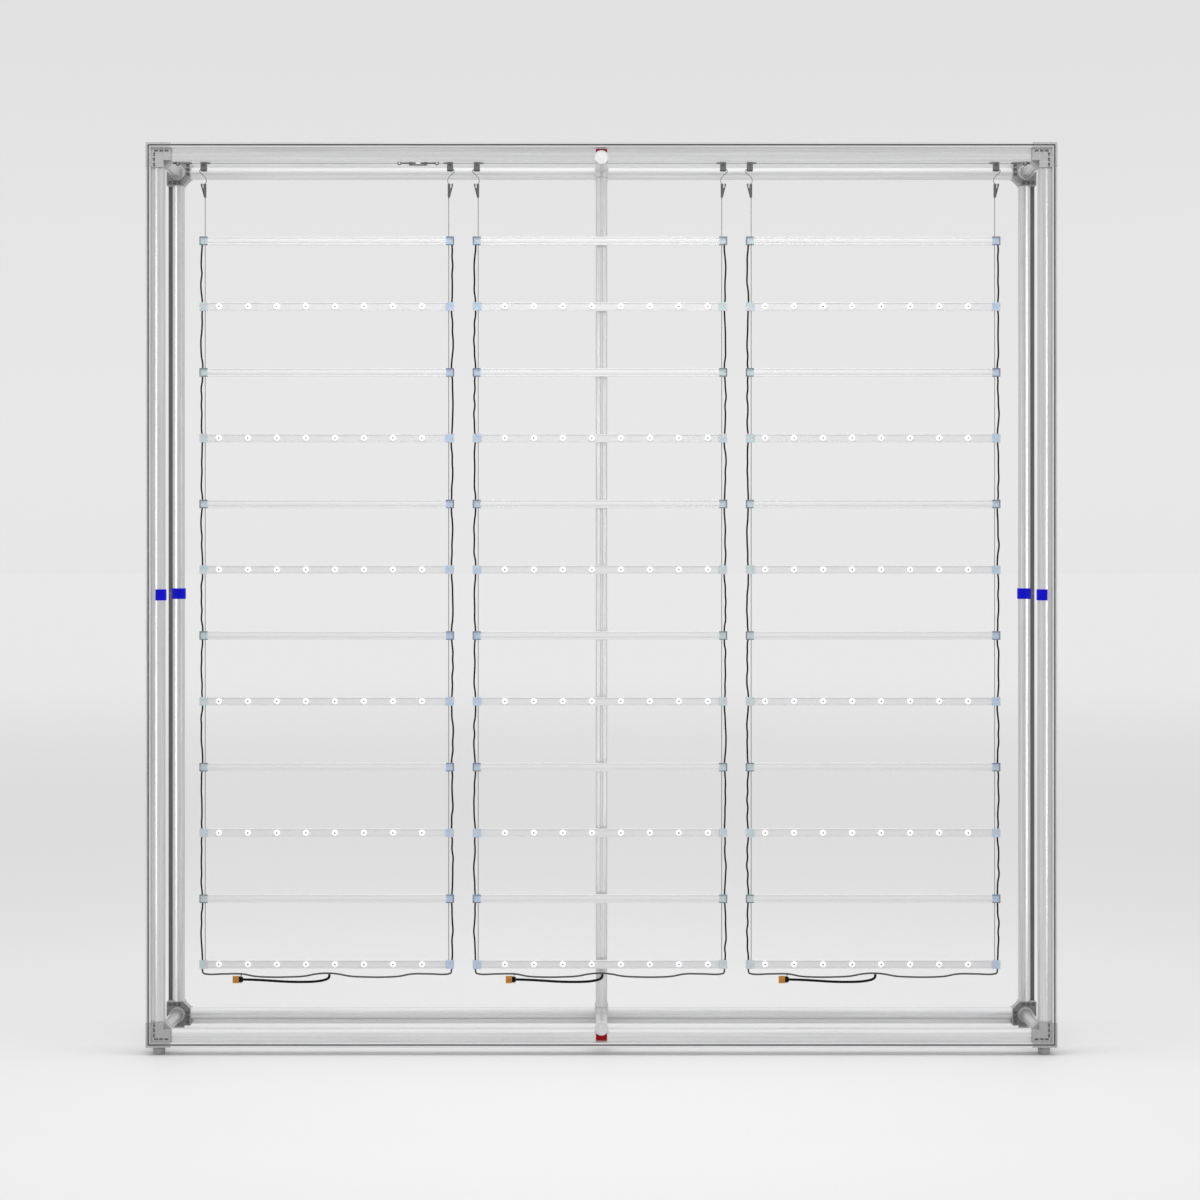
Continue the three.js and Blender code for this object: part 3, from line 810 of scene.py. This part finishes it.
def make_feet():
    """Round feet with two grooves."""
    outline = (
        (12, 0), (13.8, 0.5), (15, 2), (15, 5.4), (14.2, 6), (14.2, 7), (15, 7.6), (15, 14),
        (14.2, 14.6), (14.2, 15.6), (15, 16.2), (15, 18.9), (14.2, 19.7))
    for ring, y in RINGS:
        for side, x in SIDES:
            foot = lathe(in_mm(outline), 40)
            node = f"foot_{ring}_{side}"
            piece(node + "_turned", shifted(foot, x * TUBE_X, y * TUBE_Y), FOOT, "frame", [node])


def make_depth_tubes():
    """The four tubes from front to rear, in the connectors' sockets."""
    length = 2 * (FACE_Y - SOCKET_FLOOR - GAP)
    loops = [circle(TUBE_RADIUS, 40), circle(TUBE_RADIUS - TUBE_WALL, 40)]
    for side, x in SIDES:
        for level, z in TUBE_Z.items():
            node = f"depth_tube_{side}_{level}"
            turn = placing((x * TUBE_X, 0, z), *TURNS["y"])
            tube = moved(prism(loops, -length / 2, length / 2), turn)
            piece(node + "_tube", tube, ALUMINIUM["y"], "frame", [node])


def cap_mesh():
    """A spreader's round end cap, seen end on: a raised rim round a shallow dish."""
    radius, thick, rim, dish = CAP_RADIUS, CAP_THICKNESS, 2 * MM, 0.8 * MM
    outline = [
        (radius, 0), (radius, thick - 0.9 * MM), (radius - 0.3 * MM, thick - 0.3 * MM),
        (radius - 0.9 * MM, thick), (radius - rim, thick), (radius - rim - 0.5 * MM, thick - dish),
        (radius / 2, thick - dish), (4 * MM, thick - 0.5 * MM), (0, thick - 0.4 * MM)]
    return lathe(outline, 48)


def make_spreader(level, up):
    """A rod between the rings, saddled round both collars, with end caps and a tee for the post."""
    node = f"spreader_{level}"
    low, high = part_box(node)
    centre_z = high.z - CAP_RADIUS if up < 0 else low.z + CAP_RADIUS
    cap_back = TUBE_Y + COLLAR_RADIUS + GAP
    reach = cap_back + MM
    saddle_radius = COLLAR_RADIUS + GAP
    across = 2 * SPREADER_RADIUS
    at_tubes = [(0, y * TUBE_Y, TUBE_Z[level]) for y in (-1, 1)]
    saddles = [rod("x", saddle_radius, -across, across, place, 48) for place in at_tubes]
    arm_reach = reach if up > 0 else TUBE_Y
    arm = carved(rod("y", SPREADER_RADIUS, -arm_reach, arm_reach, (0, 0, centre_z)), *saddles)
    tee = sorted((centre_z, centre_z + up * TEE_REACH))
    spigot = sorted((centre_z, centre_z + 2 * up * TEE_REACH))
    parts = [
        rod("z", TEE_RADIUS, *tee, sides=40),
        rod("z", POST_RADIUS - POST_WALL - 2 * GAP, *spigot)]
    if up < 0:
        parts.append(rod("y", CROSS_BOLT_RADIUS, -reach, reach, (0, 0, centre_z), 24))
    body = joined(arm, *parts)
    if up < 0:
        hole_radius = WIRE_RADIUS + WIRE_CLEARANCE
        body = carved(body, rod("x", hole_radius, -across, across, (0, LADDER_Y, WIRE_Z), 20))
    piece(f"{node}_body", body, ALUMINIUM["y"], "frame", [node], 0.5 * MM)
    for ring, y in RINGS:
        turn = placing((0, y * cap_back, centre_z), (1, 0, 0), (0, 0, 1), (0, y, 0))
        piece(f"{node}_cap_{ring}", moved(cap_mesh(), turn), CAP, "frame", [node])


def make_post():
    """The centre post, a tube with eight shallow flutes."""
    low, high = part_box("centre_post")
    flutes, steps, depth = 8, 10, 1.1 * MM
    outline = []
    for i in range(flutes * steps):
        angle = 2 * math.pi * i / (flutes * steps)
        radius = POST_RADIUS - depth * max(0.0, math.cos(flutes * angle)) ** 3
        outline.append((radius * math.cos(angle), radius * math.sin(angle)))
    mesh = prism([outline, circle(POST_RADIUS - POST_WALL, 40)], low.z, high.z)
    piece("centre_post_tube", mesh, ALUMINIUM["z"], "frame", ["centre_post"])


# --- Hanging wire, clamps and hooks ---

def rope_mesh(length):
    """Steel rope along z: six strands laid in a slow twist."""
    strands, points, lay, step = 6, 24, 22 * MM, 2.2 * MM
    count = int(length / step)
    rings = []
    for i in range(count + 1):
        height = length * i / count
        ring = []
        for j in range(points):
            angle = 2 * math.pi * j / points
            twist = 2 * math.pi * height / lay
            radius = WIRE_RADIUS * (0.9 + 0.1 * math.cos(strands * (angle - twist)))
            ring.append((radius * math.cos(angle), radius * math.sin(angle), height))
        rings.append(ring)
    return skin(rings)


def ring_mesh(radius, thickness):
    """A round ring about the y axis, for an eye on the wire."""
    sides, steps = 12, 28
    shape = bmesh.new()
    made = []
    for i in range(steps):
        turn = 2 * math.pi * i / steps
        section = []
        for across, up in circle(thickness, sides):
            reach = radius + across
            section.append(shape.verts.new((reach * math.cos(turn), up, reach * math.sin(turn))))
        made.append(section)
    for i in range(steps):
        for j in range(sides):
            near, far = made[i - 1], made[i]
            shape.faces.new((near[j - 1], near[j], far[j], far[j - 1]))
    return to_mesh(shape)


def threaded_mesh(radius, length):
    """A screw thread along z, as closely spaced rings."""
    pitch = 1.2 * MM
    outline = [(radius * 0.8, 0)]
    for i in range(int(length / pitch)):
        outline += [(radius * 0.82, (i + 0.2) * pitch), (radius, (i + 0.6) * pitch)]
    return lathe(outline + [(radius * 0.8, length)], 16)


def ferrule_mesh(radius, length):
    """A crimped sleeve along z, pinched three times."""
    outline = [(radius * 0.7, 0), (radius, 0.6 * MM)]
    for i in range(3):
        centre = length * (i + 1) / 4
        outline += [
            (radius, centre - 2 * MM), (radius * 0.84, centre - 0.8 * MM),
            (radius * 0.84, centre + 0.8 * MM), (radius, centre + 2 * MM)]
    return lathe(outline + [(radius, length - 0.6 * MM), (radius * 0.7, length)], 20)


def make_hanging_wire():
    """Both halves of the wire, from the screw eye in the upright to the turnbuckle."""
    eye, near_radius, far_radius, thread = 12 * MM, 4 * MM, 5 * MM, 42 * MM
    ferrule_start, ferrule_length = 22 * MM, 26 * MM
    to_front = placing((0, 0, 0), (0, 1, 0), (1, 0, 0), (0, 0, 1))
    for side, sign in SIDES:
        node = f"hanging_wire_{side}"
        low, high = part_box(node)
        start = low.x if sign < 0 else high.x
        inward = placing((start, LADDER_Y, WIRE_Z), (0, 1, 0), (0, 0, 1), (-sign, 0, 0))
        near_eye = high.x - low.x - thread
        rope_start = eye + far_radius
        rope_length = near_eye - near_radius - rope_start
        eyes = gathered([
            rod("z", STOP_RADIUS, 0, eye - far_radius + 0.5 * MM, sides=20),
            shifted(moved(ring_mesh(far_radius, EYE_THICKNESS), to_front), z=eye),
            shifted(moved(ring_mesh(near_radius, EYE_THICKNESS), to_front), z=near_eye)])
        screw = threaded_mesh(SCREW_RADIUS, thread - near_radius)
        parts = (
            ("rope", shifted(rope_mesh(rope_length), z=rope_start), STEEL),
            ("eyes", eyes, DARK_STEEL),
            ("screw", shifted(screw, z=near_eye + near_radius), DARK_STEEL),
            ("ferrule", shifted(ferrule_mesh(STOP_RADIUS, ferrule_length), z=ferrule_start), ZINC))
        for name, mesh, material in parts:
            piece(f"{node}_{name}", moved(mesh, inward), material, "frame", [node])


def make_turnbuckle():
    """The turnbuckle's open body: two bored ends joined by two side bars."""
    low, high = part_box("turnbuckle")
    centre = middle("turnbuckle")
    half, half_deep, half_tall = (high.x - low.x) / 2, 4.5 * MM, 6 * MM
    window_end, window_half = half - 8 * MM, 3.5 * MM
    body = block((-half, -half_deep, -half_tall), (half, half_deep, half_tall))
    window = block((-window_end, -half_tall, -window_half), (window_end, half_tall, window_half))
    bore = rod("x", SCREW_RADIUS + WIRE_CLEARANCE, -half - MM, half + MM, sides=24)
    mesh = moved(carved(body, window, bore), Matrix.Translation(centre))
    piece("turnbuckle_frame", mesh, DARK_ZINC, "turnbuckle_body", ["turnbuckle"], 1.2 * MM)


def make_clamp(side, end, sign):
    """A cast clamp block on the wire, its screw, the black insert below and the crimped stop."""
    node = f"ladder_{side}_clamp_{end}"
    low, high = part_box(node)
    half, deep, insert = CLAMP_WIDTH / 2, CLAMP_DEPTH / 2, 2.2 * MM
    slit_low, slit_high, slit_depth = WIRE_Z - 9.2 * MM, WIRE_Z - 8 * MM, 0.8 * MM
    across = (-half - MM, half + MM)
    body = carved(
        block((-half, -deep, low.z + insert), (half, deep, high.z)),
        rod("x", WIRE_RADIUS + WIRE_CLEARANCE, *across, (0, 0, WIRE_Z), 20),
        rod("x", HOOK_RADIUS + WIRE_CLEARANCE, *across, (0, 0, low.z + PIVOT_RISE), 20),
        block((across[0], -CLAMP_DEPTH, slit_low), (across[1], slit_depth - deep, slit_high)))
    foot_half, foot_deep = half - 0.6 * MM, deep - 0.5 * MM
    foot = block((-foot_half, -foot_deep, low.z), (foot_half, foot_deep, low.z + insert))
    outward = placing((-sign * half, 0, WIRE_Z), (0, 1, 0), (0, 0, 1), (-sign, 0, 0))
    stop = moved(ferrule_mesh(STOP_RADIUS, STOP_LENGTH), outward)
    parts = (
        ("block", body, ZINC, 0.6 * MM), ("insert", foot, DARK_STEEL, 0.4 * MM),
        ("stop", stop, ZINC, 0.0), ("screw", clamp_screw(), DARK_STEEL, 0.0))
    at = Matrix.Translation((LADDER_X[side] + sign * CLIP_SPACING / 2, LADDER_Y, 0))
    for name, mesh, material, bevel in parts:
        piece(f"{node}_{name}", moved(mesh, at), material, "frame", [node], bevel)


def clamp_screw():
    """The clamp's hexagon socket screw, in its front face."""
    height, radius, socket, below_wire = 1.2 * MM, 2.6 * MM, 1.3 * MM, 4.6 * MM
    turn = placing((0, -CLAMP_DEPTH / 2, WIRE_Z - below_wire), (1, 0, 0), (0, 0, 1), (0, -1, 0))
    head = prism([circle(radius, 32), circle(socket, 6)], 0, height)
    return moved(head, turn)


def make_hook(side, end, sign):
    """A bent wire hook, drawn for the right-hand side, with the wedge grip it carries."""
    body = f"ladder_{side}"
    node = f"{body}_hook_{end}"
    cord_x = LADDER_X[side] + sign * (CLIP_SPACING / 2 - CORD_INSET)
    pivot_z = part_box(f"ladder_{side}_clamp_{end}")[0].z + PIVOT_RISE
    drop = (GRIP_TOP_Z - pivot_z) / MM
    inset, half = CORD_INSET / MM, CLAMP_WIDTH / MM / 2
    bends = (
        (inset - half, 0), (inset, 0), (inset + half, 0), (inset + half + 2.4, -1.8),
        (inset + half + 2, -7), (inset, -16), (-2.5, -26), (0, drop - 3))
    points = [(cord_x + sign * x * MM, LADDER_Y, pivot_z + z * MM) for x, z in bends]
    wire(f"{node}_wire", points, HOOK_RADIUS, STEEL, body, [node])
    tip = GRIP_LENGTH / MM
    outline = (
        (-2.5, 0), (4, 0), (4, -11), (7, -11), (7, 0), (11, 0), (11, -4), (3, 1 - tip),
        (1.5, -tip), (-1.5, -tip), (-2.5, 4 - tip))
    plate = prism([softened(in_mm(outline), 0.6 * MM)], -GRIP_THICKNESS / 2, GRIP_THICKNESS / 2)
    turn = placing((cord_x, LADDER_Y, GRIP_TOP_Z), (sign, 0, 0), (0, 0, 1), (0, -1, 0))
    piece(f"{node}_grip", moved(plate, turn), DARK_ZINC, body, [node])


# --- Ladders ---

def bar_section():
    """A bar's section: a channel for the board on its lit side and two fine lines on its back."""
    half, rim, sunk = BAR_HEIGHT / 2, 2.4 * MM, BAR_SUNK
    lit, back = -BAR_THICKNESS / 2, BAR_THICKNESS / 2
    line, line_depth = 1.1 * MM, 0.7 * MM
    outline = [
        (lit, -half), (lit, -half + rim), (lit + sunk, -half + rim), (lit + sunk, half - rim),
        (lit, half - rim), (lit, half), (back, half)]
    line_height = 6 * MM
    for height in (line_height, -line_height):
        outline += [
            (back, height + line), (back - line_depth, height + line),
            (back - line_depth, height - line), (back, height - line)]
    outline.append((back, -half))
    return softened(outline, 0.35 * MM, 2)


def lens_mesh():
    """A wide-beam lens: a flat skirt, a dome and the dimple over the LED."""
    outline = (
        (1, 0), (1, 0.9), (0.95, 1.2), (0.88, 1.3), (0.84, 2), (0.73, 3), (0.56, 3.7), (0.4, 3.7),
        (0.25, 3.1), (0.11, 2.5), (0, 2.3))
    return lathe([(share * LENS_RADIUS, height * MM) for share, height in outline], 28)


def lens_places(side, lit):
    """Where a bar's lenses sit along it: nearer one end, which the centre ladder has reversed."""
    span = CLIP_SPACING
    places = [-span / 2 + FIRST_LENS + i * LENS_PITCH for i in range(LENS_COUNT)]
    turned = (side == "centre") != (lit > 0)
    return [-x if turned else x for x in places]


def make_bar(side, row, z, lit):
    """One LED bar with its board, chips and lenses on its lit side, front (-1) or rear (1)."""
    body = f"ladder_{side}"
    label = f"{body}_bar_{row + 1:02d}"
    nodes = [f"{body}_net"]
    half = CLIP_SPACING / 2 - CLIP_WIDTH / 2 + MM
    turn = placing((LADDER_X[side], LADDER_Y, z), (0, -lit, 0), (0, 0, 1), (1, 0, 0))
    piece(label, moved(prism([bar_section()], -half, half), turn), BAR, body, nodes)
    floor_y = LADDER_Y + lit * (BAR_THICKNESS / 2 - BAR_SUNK)
    outward = placing((LADDER_X[side], floor_y, z), (1, 0, 0), (0, 0, 1), (0, lit, 0))
    places = lens_places(side, lit)
    pads = [shifted(pad_mesh(), x) for x in places[:-1]]
    parts = (
        ("board", gathered([board_mesh(half - MM), *pads]), BOARD),
        ("chips", gathered([shifted(chip_mesh(), x) for x in places]), CHIP),
        ("lenses", gathered([shifted(lens_mesh(), x, z=LENS_LIFT) for x in places]), LENS))
    for name, mesh, material in parts:
        piece(f"{label}_{name}", moved(mesh, outward), material, body, nodes)


def board_mesh(half):
    """The circuit board, let a little way into the bar's floor."""
    half_width, low, high = 7.5 * MM, -0.4 * MM, 0.7 * MM
    return block((-half, -half_width, low), (half, half_width, high))


def pad_mesh():
    """A flat solder pad, placed from the lens before it."""
    start, width, side, height, low, high = 24 * MM, 3 * MM, -5 * MM, 2 * MM, 0.5 * MM, 0.85 * MM
    return block((start, side, low), (start + width, side + height, high))


def chip_mesh():
    """The LED's dark core, which shows in the dimple of its lens."""
    radius, low, high = 1.9 * MM, 2.6 * MM, 4.2 * MM
    return prism([circle(radius, 12)], low, high)


def clip_mesh():
    """An end clip: a crossed, sunk face on its lit side and an open pocket in its back."""
    half_x, half_z, half_y = CLIP_WIDTH / 2, CLIP_HEIGHT / 2, CLIP_DEPTH / 2
    wall, sunk, border, pocket_depth, past = 2.8 * MM, 1.6 * MM, 1.8 * MM, 2.6 * MM, 0.5 * MM
    body = block((-half_x, -half_y, -half_z), (half_x, half_y, half_z))
    pocket_floor = half_y - pocket_depth
    pocket = block(
        (-half_x - MM, pocket_floor, wall - half_z), (half_x - wall, half_y + MM, half_z - wall))
    reach_x, reach_z = half_x - border, half_z - border
    corners = rectangle((-reach_x, -reach_z), (reach_x, reach_z))
    shape = bmesh.new()
    rim = [shape.verts.new((x, -half_y - past, z)) for x, z in corners]
    tip = shape.verts.new((0, -half_y + sunk, 0))
    shape.faces.new(rim)
    for i in range(len(rim)):
        shape.faces.new((rim[i - 1], rim[i], tip))
    return carved(body, pocket, to_mesh(shape))


def is_clip_rim(face):
    """Whether a face of the drawn clip is the rim round the pocket in its back."""
    return face.normal.y > 0.9 and face.center.y > CLIP_DEPTH / 2 - GAP


def make_clips(side, row, z, lit, shape):
    """The two end clips of one bar, blue at one end and teal at the other."""
    body = f"ladder_{side}"
    for end, sign in SIDES:
        blue_end = "left" if side == "centre" else "right"
        colour = "blue" if end == blue_end else "teal"
        x = LADDER_X[side] + sign * CLIP_SPACING / 2
        turn = placing((x, LADDER_Y, z), (sign, 0, 0), (0, -lit, 0), (0, 0, 1))
        name = f"{body}_clip_{end}_{row + 1:02d}"
        clip = piece(name, copied(shape, turn), CLIPS[colour], body, [f"{body}_net"], 0.45 * MM)
        two_toned(clip, shape, CLIP_EDGES[colour], is_clip_rim)


def make_suspension(side, levels):
    """The two grey cords that carry a ladder, from its wedge grips to its lowest bar."""
    body = f"ladder_{side}"
    top = GRIP_TOP_Z - GRIP_LENGTH - GAP
    for end, sign in SIDES:
        x = LADDER_X[side] + sign * (CLIP_SPACING / 2 - CORD_INSET)
        points = [(x, LADDER_Y, z) for z in (top, *levels)]
        wire(f"{body}_cord_{end}", points, CORD_RADIUS, GREY_CABLE, body, [f"{body}_net"])


def make_harness(side, levels, chance):
    """The black wires outside the cords, which bow out between the bars in small kinks."""
    body = f"ladder_{side}"
    edge = CLIP_SPACING / 2 + CORD_INSET
    kinks = 8
    stray = 1.5 * MM
    for end, sign in SIDES:
        points = []
        for upper, lower in zip(levels, levels[1:]):
            points.append((LADDER_X[side] + sign * edge, LADDER_Y, upper))
            for i in range(1, kinks):
                share = i / kinks
                out = edge + HARNESS_BOW * math.sin(math.pi * share) + chance.uniform(-stray, stray)
                across = LADDER_X[side] + sign * out
                depth = LADDER_Y + chance.uniform(-stray, stray)
                points.append((across, depth, upper + (lower - upper) * share))
        points.append((LADDER_X[side] + sign * edge, LADDER_Y, levels[-1]))
        wire(f"{body}_harness_{end}", points, HARNESS_RADIUS, BLACK_CABLE, body, [f"{body}_net"])


def make_jumper(side):
    """The dark wire below the lowest bar, from one end clip to the other."""
    body = f"ladder_{side}"
    left = [(-x, z) for x, z in JUMPER_ROUTE]
    right = list(reversed(JUMPER_ROUTE))
    route = [*left, (0, JUMPER_MIDDLE_Z), *right]
    points = [(LADDER_X[side] + x * MM, LADDER_Y, z * MM) for x, z in route]
    wire(f"{body}_jumper", points, HARNESS_RADIUS, JUMPER_CABLE, body, [f"{body}_net"])


def make_ladder(side, clip, chance):
    """One ladder: twelve bars that are lit to the front and rear in turn, and what holds them."""
    levels = [LOWEST_BAR_Z + (BAR_COUNT - 1 - row) * BAR_PITCH for row in range(BAR_COUNT)]
    for row, z in enumerate(levels):
        lit = -1 if row % 2 else 1
        make_bar(side, row, z, lit)
        make_clips(side, row, z, lit, clip)
    make_suspension(side, levels)
    make_harness(side, levels, chance)
    make_jumper(side)
    for end, sign in SIDES:
        make_clamp(side, end, sign)
        make_hook(side, end, sign)


# --- Studio ---

def make_world():
    """An even pale surround, a little darker above the horizon and brighter overhead."""
    world = bpy.data.worlds.new("studio")
    world.use_nodes = True
    nodes, links = world.node_tree.nodes, world.node_tree.links
    place = nodes.new("ShaderNodeTexCoord")
    split = nodes.new("ShaderNodeSeparateXYZ")
    ramp = nodes.new("ShaderNodeValToRGB")
    stops = ((0.0, 0.8), (0.06, 0.81), (0.28, 0.735), (0.6, 0.9), (1.0, 1.1))
    while len(ramp.color_ramp.elements) < len(stops):
        ramp.color_ramp.elements.new(0.5)
    for element, (height, value) in zip(ramp.color_ramp.elements, stops):
        element.position = height
        element.color = (value, value, value, 1)
    links.new(place.outputs["Generated"], split.inputs["Vector"])
    links.new(split.outputs["Z"], ramp.inputs["Fac"])
    links.new(ramp.outputs["Color"], nodes["Background"].inputs["Color"])
    bpy.context.scene.world = world


def make_floor():
    """A plain pale floor that meets the surround without a visible horizon."""
    size, thickness, near, far, glow = 450, 0.02, 4, 22, 0.1
    mesh = block((-size, -size, -thickness), (size, size, 0))
    material = plain("floor", "floor", (0.74, 0.74, 0.74), 0.7)
    nodes, links = material.node_tree.nodes, material.node_tree.links
    place = nodes.new("ShaderNodeTexCoord")
    distance = nodes.new("ShaderNodeVectorMath")
    distance.operation = "LENGTH"
    fade = nodes.new("ShaderNodeMapRange")
    fade.interpolation_type = "SMOOTHSTEP"
    fill(fade, {"From Min": near, "From Max": far, "To Max": glow})
    links.new(place.outputs["Object"], distance.inputs[0])
    links.new(distance.outputs["Value"], fade.inputs["Value"])
    feed(material, fade.outputs["Result"], "Emission Strength")
    fill(shader_of(material), {"Emission Color": (1, 1, 1, 1)})
    mesh.materials.append(material)
    added("floor", mesh)


def softbox(name, place, target, size, brightness, spread=180):
    """A rectangular light of the given brightness and spread in degrees that faces the target."""
    data = bpy.data.lights.new(name, "AREA")
    data.shape = "RECTANGLE"
    data.size, data.size_y = size
    data.energy = math.pi * brightness * size[0] * size[1]
    data.spread = math.radians(spread)
    light = added(name, data)
    light.location = place
    light.rotation_euler = (Vector(target) - Vector(place)).to_track_quat("-Z", "Y").to_euler()
    light.visible_camera = False
    return light


def make_lights():
    """A wide light low overhead, and a tall one out in front of each side for its uprights."""
    overhead = softbox("overhead", (0, -0.5, 3.1), (0, -0.5, 0), (2.6, 1.4), 3.3)
    overhead.visible_glossy = False
    for side, sign in SIDES:
        place, target = (sign * 2.6, -1.7, 1.2), (sign * TUBE_X, -TUBE_Y, 1.2)
        tall = softbox(f"side_{side}", place, target, (0.9, 2.6), 0.24, 50)
        tall.visible_diffuse = False


make_camera()
for ladder in LADDERS:
    make_lead(ladder)
make_rings()
make_feet()
make_depth_tubes()
make_spreader("top", -1)
make_spreader("bottom", 1)
make_post()
make_hanging_wire()
make_turnbuckle()
clip_shape = clip_mesh()
chance = random.Random(5)
for ladder in LADDERS:
    make_ladder(ladder, clip_shape, chance)
make_world()
make_floor()
make_lights()
bpy.context.scene.view_settings.view_transform = "Standard"
